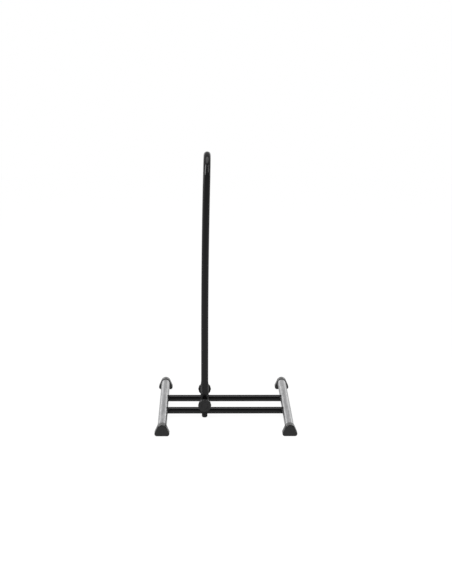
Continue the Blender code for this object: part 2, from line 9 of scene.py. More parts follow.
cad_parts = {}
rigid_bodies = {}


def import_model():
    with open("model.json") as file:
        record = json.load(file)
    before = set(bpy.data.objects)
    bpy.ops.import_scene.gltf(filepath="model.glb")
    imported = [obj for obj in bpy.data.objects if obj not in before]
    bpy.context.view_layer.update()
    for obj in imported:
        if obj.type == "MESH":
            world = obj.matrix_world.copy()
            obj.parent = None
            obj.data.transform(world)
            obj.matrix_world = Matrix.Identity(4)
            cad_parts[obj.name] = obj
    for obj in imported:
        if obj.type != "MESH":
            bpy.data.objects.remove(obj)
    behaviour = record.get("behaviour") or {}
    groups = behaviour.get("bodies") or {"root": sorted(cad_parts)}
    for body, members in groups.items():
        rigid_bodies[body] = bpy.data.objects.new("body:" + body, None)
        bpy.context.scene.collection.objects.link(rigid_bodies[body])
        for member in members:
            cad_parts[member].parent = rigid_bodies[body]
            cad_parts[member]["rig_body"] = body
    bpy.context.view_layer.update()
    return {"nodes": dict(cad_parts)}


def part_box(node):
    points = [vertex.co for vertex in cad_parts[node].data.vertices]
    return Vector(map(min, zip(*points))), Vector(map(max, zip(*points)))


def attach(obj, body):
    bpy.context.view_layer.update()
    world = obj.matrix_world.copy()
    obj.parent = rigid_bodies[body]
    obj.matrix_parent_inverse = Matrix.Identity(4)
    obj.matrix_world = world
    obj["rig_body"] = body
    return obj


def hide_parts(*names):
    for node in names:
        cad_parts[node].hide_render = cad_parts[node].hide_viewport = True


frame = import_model()

# Camera
# The stand is seen from a little left of its middle and from above, with a long lens.
# The place, tilt and lens come from where the feet, rails and hoop stand in the photograph.
PHOTO_WIDTH, PHOTO_HEIGHT = 452, 584
FOCAL_PIXELS = 1269.0
SENSOR_WIDTH = 36.0
CAMERA_PLACE = (-0.0632, -3.4461, 1.2838)
CAMERA_PITCH, CAMERA_YAW, CAMERA_ROLL = 15.10, 1.08, 0.315

camera_data = bpy.data.cameras.new("camera")
camera_data.sensor_width = SENSOR_WIDTH
camera_data.lens = SENSOR_WIDTH * FOCAL_PIXELS / max(PHOTO_WIDTH, PHOTO_HEIGHT)
camera = bpy.data.objects.new("camera", camera_data)
camera.matrix_world = (
    Matrix.Translation(CAMERA_PLACE)
    @ Matrix.Rotation(math.radians(-CAMERA_YAW), 4, "Z")
    @ Matrix.Rotation(math.radians(90 - CAMERA_PITCH), 4, "X")
    @ Matrix.Rotation(math.radians(CAMERA_ROLL), 4, "Z")
)
bpy.context.collection.objects.link(camera)
bpy.context.scene.camera = camera
bpy.context.scene.view_settings.view_transform = "Standard"


# Leg tubes
# Two steel tubes lie under the two sides of the stand and carry everything. They are cut square, cross
# drilled for the rail bolts, countersunk outside for their heads, and powder coated in satin silver.
LEG_WALL = 0.0015
LEG_HOLE = 0.0066
BOLT_HEAD_HEIGHT = 0.0026
FIT = 0.0003
TUBE_CHAMFER = 0.0003
LEG_SIDES, DRILL_SIDES = 96, 48
SHARP_ANGLE = 35
NOISE_LOW, NOISE_HIGH = 0.3, 0.7
SILVER, SILVER_DARK, SILVER_PALE = (0.60, 0.60, 0.61), (0.50, 0.50, 0.51), (0.70, 0.70, 0.705)
SILVER_SMOOTH, SILVER_DULL = 0.15, 0.21
SILVER_FLAKE_HEIGHT, SILVER_SCRATCH_HEIGHT, SILVER_PEEL_HEIGHT = 0.000002, 0.000003, 0.000008

TO_RIGHT = Matrix.Rotation(math.radians(90), 4, "Y")
TO_LEFT = Matrix.Rotation(math.radians(-90), 4, "Y")
TO_REAR = Matrix.Rotation(math.radians(-90), 4, "X")
TO_FRONT = Matrix.Rotation(math.radians(90), 4, "X")


def middle(node):
    """The middle of a solid's box."""
    low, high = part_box(node)
    return (low + high) / 2


def circle(radius, height, sides):
    """A level ring of points round local Z."""
    angles = [2 * math.pi * step / sides for step in range(sides)]
    return [Vector((radius * math.cos(a), radius * math.sin(a), height)) for a in angles]


def skin(bm, rings, through=False):
    """Join rings of points into one closed body, capped at its ends or, with a bore, back to its start."""
    rows = [[bm.verts.new(point) for point in ring] for ring in rings]
    pairs = list(zip(rows, rows[1:]))
    if through:
        pairs.append((rows[-1], rows[0]))
    for lower, upper in pairs:
        for step, point in enumerate(lower):
            following = (step + 1) % len(lower)
            bm.faces.new((point, lower[following], upper[following], upper[step]))
    if not through:
        bm.faces.new(list(reversed(rows[0])))
        bm.faces.new(rows[-1])


def finish_mesh(name, bm, place, sharp_angle=SHARP_ANGLE):
    """Put a mesh in its place on the stand, with its faces out and its round sides smooth."""
    bmesh.ops.recalc_face_normals(bm, faces=bm.faces)
    bm.transform(place)
    mesh = bpy.data.meshes.new(name)
    bm.to_mesh(mesh)
    bm.free()
    mesh.shade_smooth()
    mesh.set_sharp_from_angle(angle=math.radians(sharp_angle))
    return mesh


def add_piece(name, mesh, material, node):
    """Show a finished mesh in the place of its solid, on the same moving body and with the same finish."""
    piece = bpy.data.objects.new(name, mesh)
    bpy.context.collection.objects.link(piece)
    piece.data.materials.clear()
    piece.data.materials.append(material)
    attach(piece, frame["nodes"][node]["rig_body"])
    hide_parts(node)


def carve(mesh, cutters, operation="DIFFERENCE"):
    """Cut other closed meshes out of this one, or keep only what lies inside them."""
    block = bpy.data.objects.new("block", mesh)
    bpy.context.collection.objects.link(block)
    tools = []
    for cutter in cutters:
        tool = bpy.data.objects.new("tool", cutter)
        bpy.context.collection.objects.link(tool)
        tools.append(tool)
        modifier = block.modifiers.new("carve", "BOOLEAN")
        modifier.operation = operation
        modifier.solver = "EXACT"
        modifier.object = tool
    bpy.context.view_layer.update()
    graph = bpy.context.evaluated_depsgraph_get()
    carved = bpy.data.meshes.new_from_object(block.evaluated_get(graph))
    carved.name = mesh.name
    for obj in [block, *tools]:
        bpy.data.objects.remove(obj)
    carved.shade_smooth()
    carved.set_sharp_from_angle(angle=math.radians(SHARP_ANGLE))
    return carved


def rod(radius, start, end, place):
    """A plain round bar, used to drill holes."""
    bm = bmesh.new()
    skin(bm, [circle(radius, start, DRILL_SIDES), circle(radius, end, DRILL_SIDES)])
    return finish_mesh("rod", bm, place)


def new_material(name, colour, roughness, metallic=0.0):
    """A Principled material with its node tools at hand: returns the material, its tree and its shader."""
    material = bpy.data.materials.new(name)
    material.use_nodes = True
    tree = material.node_tree
    shader = tree.nodes["Principled BSDF"]
    shader.inputs["Base Color"].default_value = (*colour, 1.0)
    shader.inputs["Roughness"].default_value = roughness
    shader.inputs["Metallic"].default_value = metallic
    return material, tree, shader


def noise(tree, scale, detail, stretch=(1.0, 1.0, 1.0)):
    """Cloudy variation through the solid: scale in cycles a metre, long along an axis of small stretch."""
    place = tree.nodes.new("ShaderNodeTexCoord")
    mapping = tree.nodes.new("ShaderNodeMapping")
    mapping.inputs["Scale"].default_value = stretch
    texture = tree.nodes.new("ShaderNodeTexNoise")
    texture.inputs["Scale"].default_value = scale
    texture.inputs["Detail"].default_value = detail
    tree.links.new(place.outputs["Object"], mapping.inputs["Vector"])
    tree.links.new(mapping.outputs["Vector"], texture.inputs["Vector"])
    return texture.outputs["Fac"]


def spread(tree, source, low, high, start=NOISE_LOW, end=NOISE_HIGH):
    """Turn a value between start and end, as a noise mostly has, into a number between low and high."""
    ranged = tree.nodes.new("ShaderNodeMapRange")
    ranged.inputs["From Min"].default_value = start
    ranged.inputs["From Max"].default_value = end
    ranged.inputs["To Min"].default_value = low
    ranged.inputs["To Max"].default_value = high
    tree.links.new(source, ranged.inputs["Value"])
    return ranged.outputs["Result"]


def blend_colours(tree, source, low, high):
    """Turn a value from 0 to 1 into a colour between two."""
    mixed = tree.nodes.new("ShaderNodeMix")
    mixed.data_type = "RGBA"
    mixed.inputs["A"].default_value = (*low, 1.0)
    mixed.inputs["B"].default_value = (*high, 1.0)
    tree.links.new(source, mixed.inputs["Factor"])
    return mixed.outputs["Result"]


def add_bumps(tree, shader, layers):
    """Raise the surface by several (source, height in metres) layers, one on the other."""
    normal = None
    for source, height in layers:
        bump = tree.nodes.new("ShaderNodeBump")
        bump.inputs["Strength"].default_value = 1.0
        bump.inputs["Distance"].default_value = height
        tree.links.new(source, bump.inputs["Height"])
        if normal:
            tree.links.new(normal, bump.inputs["Normal"])
        normal = bump.outputs["Normal"]
    tree.links.new(normal, shader.inputs["Normal"])


def silver_coat():
    """Silver powder coat: flake in a satin skin, orange peel, and scratches and streaks along the tube."""
    material, tree, shader = new_material("silver_coat", SILVER, roughness=0.18, metallic=0.8)
    flake = noise(tree, scale=2600, detail=2.0)
    peel = noise(tree, scale=420, detail=2.0)
    rubbed = noise(tree, scale=22, detail=4.0, stretch=(1.0, 0.25, 1.0))
    scratches = noise(tree, scale=900, detail=2.0, stretch=(1.0, 0.03, 1.0))
    streaks = noise(tree, scale=300, detail=3.0, stretch=(1.0, 0.10, 1.0))
    streaked = spread(tree, streaks, low=0.0, high=1.0, start=0.4, end=0.6)
    tint = blend_colours(tree, streaked, SILVER_DARK, SILVER_PALE)
    tree.links.new(tint, shader.inputs["Base Color"])
    tree.links.new(spread(tree, rubbed, SILVER_SMOOTH, SILVER_DULL), shader.inputs["Roughness"])
    layers = [(peel, SILVER_PEEL_HEIGHT), (scratches, SILVER_SCRATCH_HEIGHT), (flake, SILVER_FLAKE_HEIGHT)]
    add_bumps(tree, shader, layers)
    return material


silver_finish = silver_coat()
rail_middles = [middle("front_rail"), middle("rear_rail")]
bolt_low, bolt_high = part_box("front_right_rail_bolt")
bolt_top = bolt_high.x - middle("right_leg_tube").x
bolt_head_radius = (bolt_high.y - bolt_low.y) / 2

for side, outward in (("left", TO_LEFT), ("right", TO_RIGHT)):
    node = f"{side}_leg_tube"
    low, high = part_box(node)
    centre = (low + high) / 2
    half_length = (high.y - low.y) / 2
    radius = (high.x - low.x) / 2
    bore = radius - LEG_WALL
    bm = bmesh.new()
    rings = []
    for end in (-1, 1):
        cut = half_length - TUBE_CHAMFER
        profile = [(bore, cut), (bore + TUBE_CHAMFER, half_length),
                   (radius - TUBE_CHAMFER, half_length), (radius, cut)]
        if end > 0:
            profile.reverse()
        rings += [circle(r, end * z, LEG_SIDES) for r, z in profile]
    skin(bm, rings, through=True)
    tube = finish_mesh(node, bm, Matrix.Translation(centre) @ TO_REAR)
    sunk = bolt_head_radius + FIT
    profile = [(LEG_HOLE / 2, -2 * radius), (LEG_HOLE / 2, bolt_top - BOLT_HEAD_HEIGHT), (sunk, bolt_top),
               (sunk, 2 * radius)]
    drills = []
    for rail in rail_middles:
        bm = bmesh.new()
        skin(bm, [circle(r, z, DRILL_SIDES) for r, z in profile])
        drills.append(finish_mesh("drill", bm, Matrix.Translation((centre.x, rail.y, rail.z)) @ outward))
    add_piece(f"leg_{side}", carve(tube, drills), silver_finish, node)


# Feet
# Four moulded caps of soft black vinyl are pushed over the leg ends. Each flares from an arch over the
# tube to a broad flat base, with a bead round its mouth and shallow grip grooves underneath.
FOOT_CORNER = 0.0065
FOOT_END_ROUND, FOOT_END_STEPS = 0.0032, 8
# The flat base takes only this share of the rounding at the foot's end.
FOOT_BASE_SHARE = 0.4
FOOT_END_WALL = 0.004
FOOT_BEAD = 0.0030
FOOT_GROOVE = 0.0004
FOOT_MOUTH_ROUND, FOOT_MOUTH_STEPS = 0.0010, 4
FOOT_CORNER_STEPS, FOOT_FLANK_STEPS, FOOT_ARCH_STEPS, FOOT_BASE_STEPS = 12, 12, 40, 20
GRIP_WIDTH, GRIP_DEPTH, GRIP_PITCH, GRIP_COUNT = 0.0014, 0.0006, 0.0034, 4
GATE_MARK, GATE_DEPTH = 0.0042, 0.0003
# The pale grey of the vinyl is mostly a painted sheen on upward faces, standing in for top light, with a
# little faint dust.
VINYL, VINYL_CLEAN, VINYL_DUST_AND_SHEEN = (0.0055, 0.0055, 0.006), (0.004, 0.004, 0.0045), (0.095, 0.095, 0.093)
VINYL_SMOOTH, VINYL_DULL = 0.15, 0.24
VINYL_WAVE_HEIGHT, VINYL_GRAIN_HEIGHT = 0.00008, 0.000008
HALF_TURN = Matrix.Rotation(math.pi, 4, "Z")


def arc(centre, radius, start, end, steps):
    """Points of an arc in a plane, from one angle in degrees to another."""
    points = []
    for step in range(steps + 1):
        angle = math.radians(start + (end - start) * step / steps)
        points.append((centre[0] + radius * math.cos(angle), centre[1] + radius * math.sin(angle)))
    return points


def quarter_turn(steps):
    """The angles of a quarter turn, from none to the whole of it."""
    return [math.pi / 2 * step / steps for step in range(steps + 1)]


def between(start, end, steps):
    """Points inside a straight line, at even angles as seen from the tube's axis."""
    first = math.atan2(start[1], start[0])
    turn = (math.atan2(end[1], end[0]) - first) % (2 * math.pi)
    run = (end[0] - start[0], end[1] - start[1])
    points = []
    for step in range(1, steps):
        angle = first + turn * step / steps
        ray = (math.cos(angle), math.sin(angle))
        far = (start[0] * run[1] - start[1] * run[0]) / (ray[0] * run[1] - ray[1] * run[0])
        points.append((ray[0] * far, ray[1] * far))
    return points


def slab(width, depth, height, centre):
    """A plain block, used to cut the grip grooves."""
    bm = bmesh.new()
    bmesh.ops.create_cube(bm, size=1.0, matrix=Matrix.Diagonal((width, depth, height, 1.0)))
    return finish_mesh("slab", bm, Matrix.Translation(centre))


def foot_outline(arch, base, floor, inset):
    """The foot seen from its end, about the tube's axis: an arch over the tube, down to two corners."""
    corner_x = base / 2 - FOOT_CORNER
    corner_z = floor + FOOT_CORNER
    reach = math.hypot(corner_x, corner_z)
    flank = math.degrees(math.atan2(corner_z, corner_x) + math.acos((arch - FOOT_CORNER) / reach))
    rounding = FOOT_CORNER - inset
    right_corner = arc((corner_x, corner_z), rounding, -90, flank, FOOT_CORNER_STEPS)
    over = arc((0, 0), arch - inset, flank, 180 - flank, FOOT_ARCH_STEPS)
    left_corner = arc((-corner_x, corner_z), rounding, 180 - flank, 270, FOOT_CORNER_STEPS)
    outline = right_corner + between(right_corner[-1], over[0], FOOT_FLANK_STEPS) + over
    outline += between(over[-1], left_corner[0], FOOT_FLANK_STEPS) + left_corner
    return outline + between(left_corner[-1], right_corner[0], FOOT_BASE_STEPS)


def combine(tree, operation, first, second):
    """A sum, product or the larger of two values, each a socket or a plain number."""
    node = tree.nodes.new("ShaderNodeMath")
    node.operation = operation
    for socket, value in zip(node.inputs, (first, second)):
        if isinstance(value, float):
            socket.default_value = value
        else:
            tree.links.new(value, socket)
    return node.outputs["Value"]


def vinyl():
    """Soft black vinyl: a satin moulded skin with a fine grain and cloudy sheen, faint cloudy dust, and a
    painted sheen that lightens what faces up.
    """
    material, tree, shader = new_material("vinyl", VINYL, roughness=0.20)
    grain = noise(tree, scale=1900, detail=3.0)
    cloud = noise(tree, scale=70, detail=4.0)
    surface = tree.nodes.new("ShaderNodeNewGeometry")
    facing = tree.nodes.new("ShaderNodeSeparateXYZ")
    tree.links.new(surface.outputs["Normal"], facing.inputs["Vector"])
    # Painted sheen: faces that look up are lightened towards pale grey, as top light would show them; the
    # cloud adds a faint random dust.
    painted_top_sheen = spread(tree, facing.outputs["Z"], low=0.0, high=0.95, start=0.6, end=1.0)
    scattered = spread(tree, cloud, low=0.0, high=0.05)
    dust_and_painted_sheen = combine(tree, "ADD", scattered, painted_top_sheen)
    tint = blend_colours(tree, dust_and_painted_sheen, VINYL_CLEAN, VINYL_DUST_AND_SHEEN)
    tree.links.new(tint, shader.inputs["Base Color"])
    tree.links.new(spread(tree, cloud, VINYL_SMOOTH, VINYL_DULL), shader.inputs["Roughness"])
    shader.inputs["Coat Weight"].default_value = 0.5
    shader.inputs["Coat Roughness"].default_value = 0.16
    add_bumps(tree, shader, [(cloud, VINYL_WAVE_HEIGHT), (grain, VINYL_GRAIN_HEIGHT)])
    return material


vinyl_finish = vinyl()
for end, turn in (("front", Matrix.Identity(4)), ("rear", HALF_TURN)):
    for side in ("left", "right"):
        node = f"{end}_{side}_foot"
        low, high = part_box(node)
        leg_low, leg_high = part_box(f"{side}_leg_tube")
        axis_height = middle(f"{side}_leg_tube").z
        leg_radius = (leg_high.z - leg_low.z) / 2
        middle_x = (low.x + high.x) / 2
        length = high.y - low.y
        arch = high.z - axis_height
        base = high.x - low.x
        floor = low.z - axis_height
        steps = [(FOOT_END_ROUND * (1 - math.sin(a)), FOOT_END_ROUND * (1 - math.cos(a)))
                 for a in quarter_turn(FOOT_END_STEPS)]
        bead_start = length - FOOT_BEAD
        steps += [(0.0, bead_start - 3 * FOOT_GROOVE), (FOOT_GROOVE, bead_start - 2 * FOOT_GROOVE),
                  (FOOT_GROOVE, bead_start - FOOT_GROOVE), (0.0, bead_start)]
        steps += [(FOOT_MOUTH_ROUND * (1 - math.cos(a)), length - FOOT_MOUTH_ROUND * (1 - math.sin(a)))
                  for a in quarter_turn(FOOT_MOUTH_STEPS)]
        rings = [[Vector((x, depth, z - (1 - FOOT_BASE_SHARE) * inset * max(0.0, z / floor)))
                  for x, z in foot_outline(arch, base, floor, inset)] for inset, depth in steps]
        bore = leg_radius + FIT
        for depth in (length, FOOT_END_WALL):
            rings.append([Vector((x * bore / math.hypot(x, z), depth, z * bore / math.hypot(x, z)))
                          for x, z in foot_outline(arch, base, floor, 0.0)])
        outer_end = low.y if end == "front" else high.y
        end_place = Matrix.Translation((middle_x, outer_end, axis_height))
        bm = bmesh.new()
        skin(bm, rings)
        foot = finish_mesh(node, bm, end_place @ turn)
        inward = 1 if end == "front" else -1
        grips = []
        for grip in range(GRIP_COUNT):
            along = length / 2 + GRIP_PITCH * (grip - (GRIP_COUNT - 1) / 2)
            centre = (middle_x, outer_end + inward * along, low.z)
            grips.append(slab(2 * base, GRIP_WIDTH, 2 * GRIP_DEPTH, centre))
        gate = rod(GATE_MARK / 2, -GATE_DEPTH, GATE_DEPTH, end_place @ TO_REAR)
        add_piece(f"foot_{end}_{side}", carve(foot, [*grips, gate]), vinyl_finish, node)


# Rails
# Two round steel tubes, 19 mm across, join the legs and carry the clamps. They are powder coated in
# satin black, polished a little in streaks by the clamps that slide on them.
RAIL_WALL = 0.0015
RAIL_SIDES = 72
COAT_BLACK, COAT_DARK, COAT_PALE = (0.004, 0.004, 0.0044), (0.003, 0.003, 0.0034), (0.006, 0.006, 0.0064)
COAT_SMOOTH, COAT_DULL = 0.13, 0.20
COAT_PEEL_HEIGHT, COAT_SPECK_HEIGHT = 0.000012, 0.000003


def black_coat(name, along):
    """Black powder coat: a satin skin with a fine orange peel, specks and light rubbing along the tube."""
    material, tree, shader = new_material(name, COAT_BLACK, roughness=0.17)
    peel = noise(tree, scale=520, detail=2.0)
    speck = noise(tree, scale=2400, detail=2.0)
    rubbed = noise(tree, scale=26, detail=4.0, stretch=along)
    specked = spread(tree, speck, low=0.0, high=1.0, start=0.4, end=0.75)
    tint = blend_colours(tree, specked, COAT_DARK, COAT_PALE)
    tree.links.new(tint, shader.inputs["Base Color"])
    tree.links.new(spread(tree, rubbed, COAT_SMOOTH, COAT_DULL), shader.inputs["Roughness"])
    add_bumps(tree, shader, [(peel, COAT_PEEL_HEIGHT), (speck, COAT_SPECK_HEIGHT)])
    return material


rail_finish = black_coat("rail_coat", along=(0.25, 1.0, 1.0))
for end in ("front", "rear"):
    node = f"{end}_rail"
    low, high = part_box(node)
    rail_radius = (high.z - low.z) / 2
    half_length = (high.x - low.x) / 2
    rail_bore = rail_radius - RAIL_WALL
    bm = bmesh.new()
    rings = []
    for sign in (-1, 1):
        cut = half_length - TUBE_CHAMFER
        profile = [(rail_bore, half_length), (rail_radius - TUBE_CHAMFER, half_length), (rail_radius, cut)]
        if sign > 0:
            profile.reverse()
        rings += [circle(r, sign * z, RAIL_SIDES) for r, z in profile]
    skin(bm, rings, through=True)
    rail = finish_mesh(node, bm, Matrix.Translation((low + high) / 2) @ TO_RIGHT)
    add_piece(f"rail_{end}", rail, rail_finish, node)


# Rail end plugs
# A moulded nylon plug closes each end of each rail. Its collar is hollowed to seat on the round leg, and
# its spigot, a push fit in the rail, holds a nut.
COLLAR_ROUND = 0.0004
M6_HOLE = 0.0033
M6_NUT_WIDTH = 0.010
M6_NUT_HEIGHT = 0.005
NUT_ROOM = 0.0006
PLUG_SIDES = 72
SEAT_SHARES = (1.0, 0.8, 0.6)
NYLON, NYLON_DARK, NYLON_PALE = (0.013, 0.013, 0.0135), (0.010, 0.010, 0.0105), (0.016, 0.016, 0.0165)
NYLON_WAVE_HEIGHT = 0.00006


def hexagon(width, height, sides):
    """A ring of points on a hexagon that is width across its flats."""
    points = []
    for step in range(sides):
        angle = 2 * math.pi * step / sides
        from_flat = (angle + math.pi / 6) % (math.pi / 3) - math.pi / 6
        reach = width / 2 / math.cos(from_flat)
        points.append(Vector((reach * math.cos(angle), reach * math.sin(angle), height)))
    return points


def saddle(radius, seat, sides):
    """A ring round local Z on the inner side of the leg, a cylinder along local Y of this seat radius."""
    level = circle(radius, 0.0, sides)
    return [Vector((p.x, p.y, -math.sqrt(seat * seat - p.x * p.x))) for p in level]


def nylon(name, smooth, dull, grain_height, gloss):
    """Black glass-filled nylon: the mould's fine sparked grain and cloudy sheen, with more or less gloss."""
    material, tree, shader = new_material(name, NYLON, roughness=(smooth + dull) / 2)
    shader.inputs["Specular IOR Level"].default_value = gloss
    grain = noise(tree, scale=2300, detail=3.0)
    cloud = noise(tree, scale=90, detail=4.0)
    clouded = spread(tree, cloud, low=0.0, high=1.0)
    tint = blend_colours(tree, clouded, NYLON_DARK, NYLON_PALE)
    tree.links.new(tint, shader.inputs["Base Color"])
    tree.links.new(spread(tree, cloud, smooth, dull), shader.inputs["Roughness"])
    add_bumps(tree, shader, [(cloud, NYLON_WAVE_HEIGHT), (grain, grain_height)])
    return material


nylon_finish = nylon("nylon", smooth=0.40, dull=0.52, grain_height=0.00002, gloss=0.25)
leg_seat = leg_radius + FIT
corner_frames = {}
for end in ("front", "rear"):
    for side, facing in (("left", TO_LEFT), ("right", TO_RIGHT)):
        crossing = (middle(f"{side}_leg_tube").x, middle(f"{end}_rail").y, axis_height)
        corner_frames[f"{end}_{side}"] = Matrix.Translation(crossing) @ facing

rail_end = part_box("front_rail")[1].x - middle("right_leg_tube").x
spigot_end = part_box("front_right_rail_plug")[0].x - middle("right_leg_tube").x
pocket_floor = spigot_end + M6_NUT_HEIGHT + FIT
for corner, place in corner_frames.items():
    node = f"{corner}_rail_plug"
    spigot = rail_bore - FIT
    collar = rail_end + FIT
    rings = [
        hexagon(M6_NUT_WIDTH + NUT_ROOM, spigot_end, PLUG_SIDES),
        circle(spigot - COLLAR_ROUND, spigot_end, PLUG_SIDES),
        circle(spigot, spigot_end + COLLAR_ROUND, PLUG_SIDES),
        circle(spigot, collar, PLUG_SIDES),
        circle(rail_radius - COLLAR_ROUND, collar, PLUG_SIDES),
        circle(rail_radius, collar + COLLAR_ROUND, PLUG_SIDES),
    ]
    for share in SEAT_SHARES:
        rings.append(saddle(rail_radius * share, leg_seat, PLUG_SIDES))
    rings.append(saddle(M6_HOLE, leg_seat, PLUG_SIDES))
    rings.append(circle(M6_HOLE, pocket_floor, PLUG_SIDES))
    rings.append(hexagon(M6_NUT_WIDTH + NUT_ROOM, pocket_floor, PLUG_SIDES))
    bm = bmesh.new()
    skin(bm, rings, through=True)
    add_piece(f"plug_{corner}", finish_mesh(node, bm, place), nylon_finish, node)


# Rail nuts
# A zinc plated M6 nut lies in each plug's pocket, where it can't turn, and takes the bolt that comes
# through the leg. Its corners are turned down and its hole is countersunk on both faces.
NUT_SIDES = 48
NUT_FACE_SHARE, NUT_CORNER_SLOPE = 0.475, 30
NUT_SINK_SHARE = 0.12
NUT_SHARP_ANGLE = 20
ZINC, ZINC_BLUE, ZINC_STRAW = (0.60, 0.60, 0.58), (0.58, 0.60, 0.63), (0.66, 0.63, 0.56)
ZINC_BRIGHT, ZINC_DULL = 0.24, 0.42
ZINC_SCRATCH_HEIGHT = 0.000012


def nut(name, width, bore, start, height, place):
    """A nut about local Z: flats all round, and both faces turned to a cone that cuts the corners back."""
    face = width * NUT_FACE_SHARE
    flats = hexagon(width, 0.0, NUT_SIDES)
    slope = math.tan(math.radians(NUT_CORNER_SLOPE))
    drops = [max(0.0, point.length - face) * slope for point in flats]
    countersink = bore * NUT_SINK_SHARE
    lower = [Vector((p.x, p.y, start + drop)) for p, drop in zip(flats, drops)]
    upper = [Vector((p.x, p.y, start + height - drop)) for p, drop in zip(flats, drops)]
    rings = [
        circle(bore, start + countersink, NUT_SIDES),
        circle(bore + countersink, start, NUT_SIDES),
        circle(face, start, NUT_SIDES),
        lower,
        upper,
        circle(face, start + height, NUT_SIDES),
        circle(bore + countersink, start + height, NUT_SIDES),
        circle(bore, start + height - countersink, NUT_SIDES),
    ]
    bm = bmesh.new()
    skin(bm, rings, through=True)
    return finish_mesh(name, bm, place, NUT_SHARP_ANGLE)


def zinc_plate():
    """Bright zinc plate: metal with a faint blue and straw cast, fine scratches and dull patches."""
    material, tree, shader = new_material("zinc_plate", ZINC, roughness=0.32, metallic=1.0)
    cast = noise(tree, scale=160, detail=3.0)
    scratches = noise(tree, scale=1400, detail=3.0, stretch=(1.0, 1.0, 0.15))
    tinted = spread(tree, cast, low=0.0, high=1.0)
    tint = blend_colours(tree, tinted, ZINC_BLUE, ZINC_STRAW)
    tree.links.new(tint, shader.inputs["Base Color"])
    tree.links.new(spread(tree, cast, ZINC_BRIGHT, ZINC_DULL), shader.inputs["Roughness"])
    add_bumps(tree, shader, [(scratches, ZINC_SCRATCH_HEIGHT)])
    return material


zinc_finish = zinc_plate()
for corner, place in corner_frames.items():
    node = f"{corner}_rail_nut"
    rail_nut = nut(node, M6_NUT_WIDTH, M6_HOLE, spigot_end, M6_NUT_HEIGHT, place)
    add_piece(f"nut_{corner}", rail_nut, zinc_finish, node)


# Rail bolts
# A zinc plated countersunk M6 bolt lies flush in the outside of the leg at each corner. It passes through
# the leg into the nut in the rail's end.
M6_RADIUS, M6_PITCH = 0.003, 0.001
M6_KEY = 0.004
HEAD_LAND = 0.0002
KEY_DEPTH = 0.0018
KEY_RIM_SHARE, KEY_LEAD_SHARE = 0.62, 0.06
KEY_POINT_SHARE, KEY_POINT_DEPTH_SHARE = 0.2, 0.12
THREAD_DEPTH_SHARE, THREAD_CREST = 0.6, 1.15
THREAD_SIDES = 24
ROWS_PER_TURN = 6
SCREW_SHARP_ANGLE = 40


def thread(radius, pitch, start, end):
    """Rings of a screw thread up local Z, flat on its crests, with its first turn run out to a lead."""
    depth = THREAD_DEPTH_SHARE * pitch
    rows = round((end - start) / pitch * ROWS_PER_TURN)
    rings = []
    for row in range(rows + 1):
        height = start + (end - start) * row / rows
        lead = min(1.0, (height - start) / pitch)
        ring = []
        for step in range(THREAD_SIDES):
            share = step / THREAD_SIDES
            wave = abs(2 * ((height / pitch - share) % 1.0) - 1)
            reach = radius - depth + depth * min(1.0, THREAD_CREST * wave) * lead
            angle = 2 * math.pi * share
            ring.append(Vector((reach * math.cos(angle), reach * math.sin(angle), height)))
        rings.append(ring)
    return rings


def screw(name, radius, pitch, tip, threaded_to, head, key, place):
    """A screw about local Z: threaded tip, plain shank, its head's (radius, z) profile, and a key hole."""
    rings = thread(radius, pitch, tip, threaded_to)
    rings.append(circle(radius, threaded_to + pitch / 2, THREAD_SIDES))
    rings += [circle(r, z, THREAD_SIDES) for r, z in head]
    top = head[-1][1]
    point = top - KEY_DEPTH - key * KEY_POINT_DEPTH_SHARE
    rings.append(circle(key * KEY_RIM_SHARE, top, THREAD_SIDES))
    rings.append(hexagon(key, top - key * KEY_LEAD_SHARE, THREAD_SIDES))
    rings.append(hexagon(key, top - KEY_DEPTH, THREAD_SIDES))
    rings.append(circle(key * KEY_POINT_SHARE, point, THREAD_SIDES))
    bm = bmesh.new()
    skin(bm, rings)
    return finish_mesh(name, bm, place, SCREW_SHARP_ANGLE)


sunk_head = [(M6_RADIUS, bolt_top - BOLT_HEAD_HEIGHT), (bolt_head_radius, bolt_top - HEAD_LAND),
             (bolt_head_radius - HEAD_LAND / 2, bolt_top)]
for corner, place in corner_frames.items():
    node = f"{corner}_rail_bolt"
    bolt = screw(node, M6_RADIUS, M6_PITCH, spigot_end, -leg_radius, sunk_head, M6_KEY, place)
    add_piece(f"bolt_{corner}", bolt, zinc_finish, node)


# Clamp jaws
# Each clamp is two moulded nylon halves round a rail. Above it their ears take the hoop's flat end, and
# below it a rounded tongue holds the screw that hinges them together.
JAW_EDGE, JAW_EDGE_STEPS, JAW_EDGE_ANGLE = 0.0005, 3, 50
JAW_PARTING = 0.0005
EAR_STEPS, SEAT_STEPS, TONGUE_STEPS = 48, 40, 12
TONGUE_WIDTH, TONGUE_CORNER, TONGUE_SHOULDER = 0.0158, 0.006, 0.0005
JAW_SCREW_DROP = 0.0127
M4_HOLE, M4_NUT_WIDTH, M4_NUT_HEIGHT = 0.0023, 0.007, 0.0032
POCKET_SIDES = 12
# Cutters reach this far past what they cut.
PAST = 0.010
FLAT_DOWN = Matrix.Rotation(math.radians(30), 4, "Z")

bush_low, bush_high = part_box("front_pivot_bush")
jaw_low, jaw_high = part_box("front_outer_jaw")
pivot = middle("front_pivot_bush")
pivot_rise = pivot.z - axis_height
flat_thickness = bush_high.y - bush_low.y
ear_inner = flat_thickness / 2 + FIT
jaw_half_width = (jaw_high.x - jaw_low.x) / 2
tongue_drop = axis_height - jaw_low.z
rail_y = middle("rear_rail").y
outer_face = -rail_y - jaw_low.y
inner_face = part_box("front_inner_jaw")[1].y + rail_y


def prism(outline, start, end, place):
    """An outline of (x, z) points drawn out along Y."""
    bm = bmesh.new()
    skin(bm, [[Vector((x, y, z)) for x, z in outline] for y in (start, end)])
    return finish_mesh("prism", bm, place)


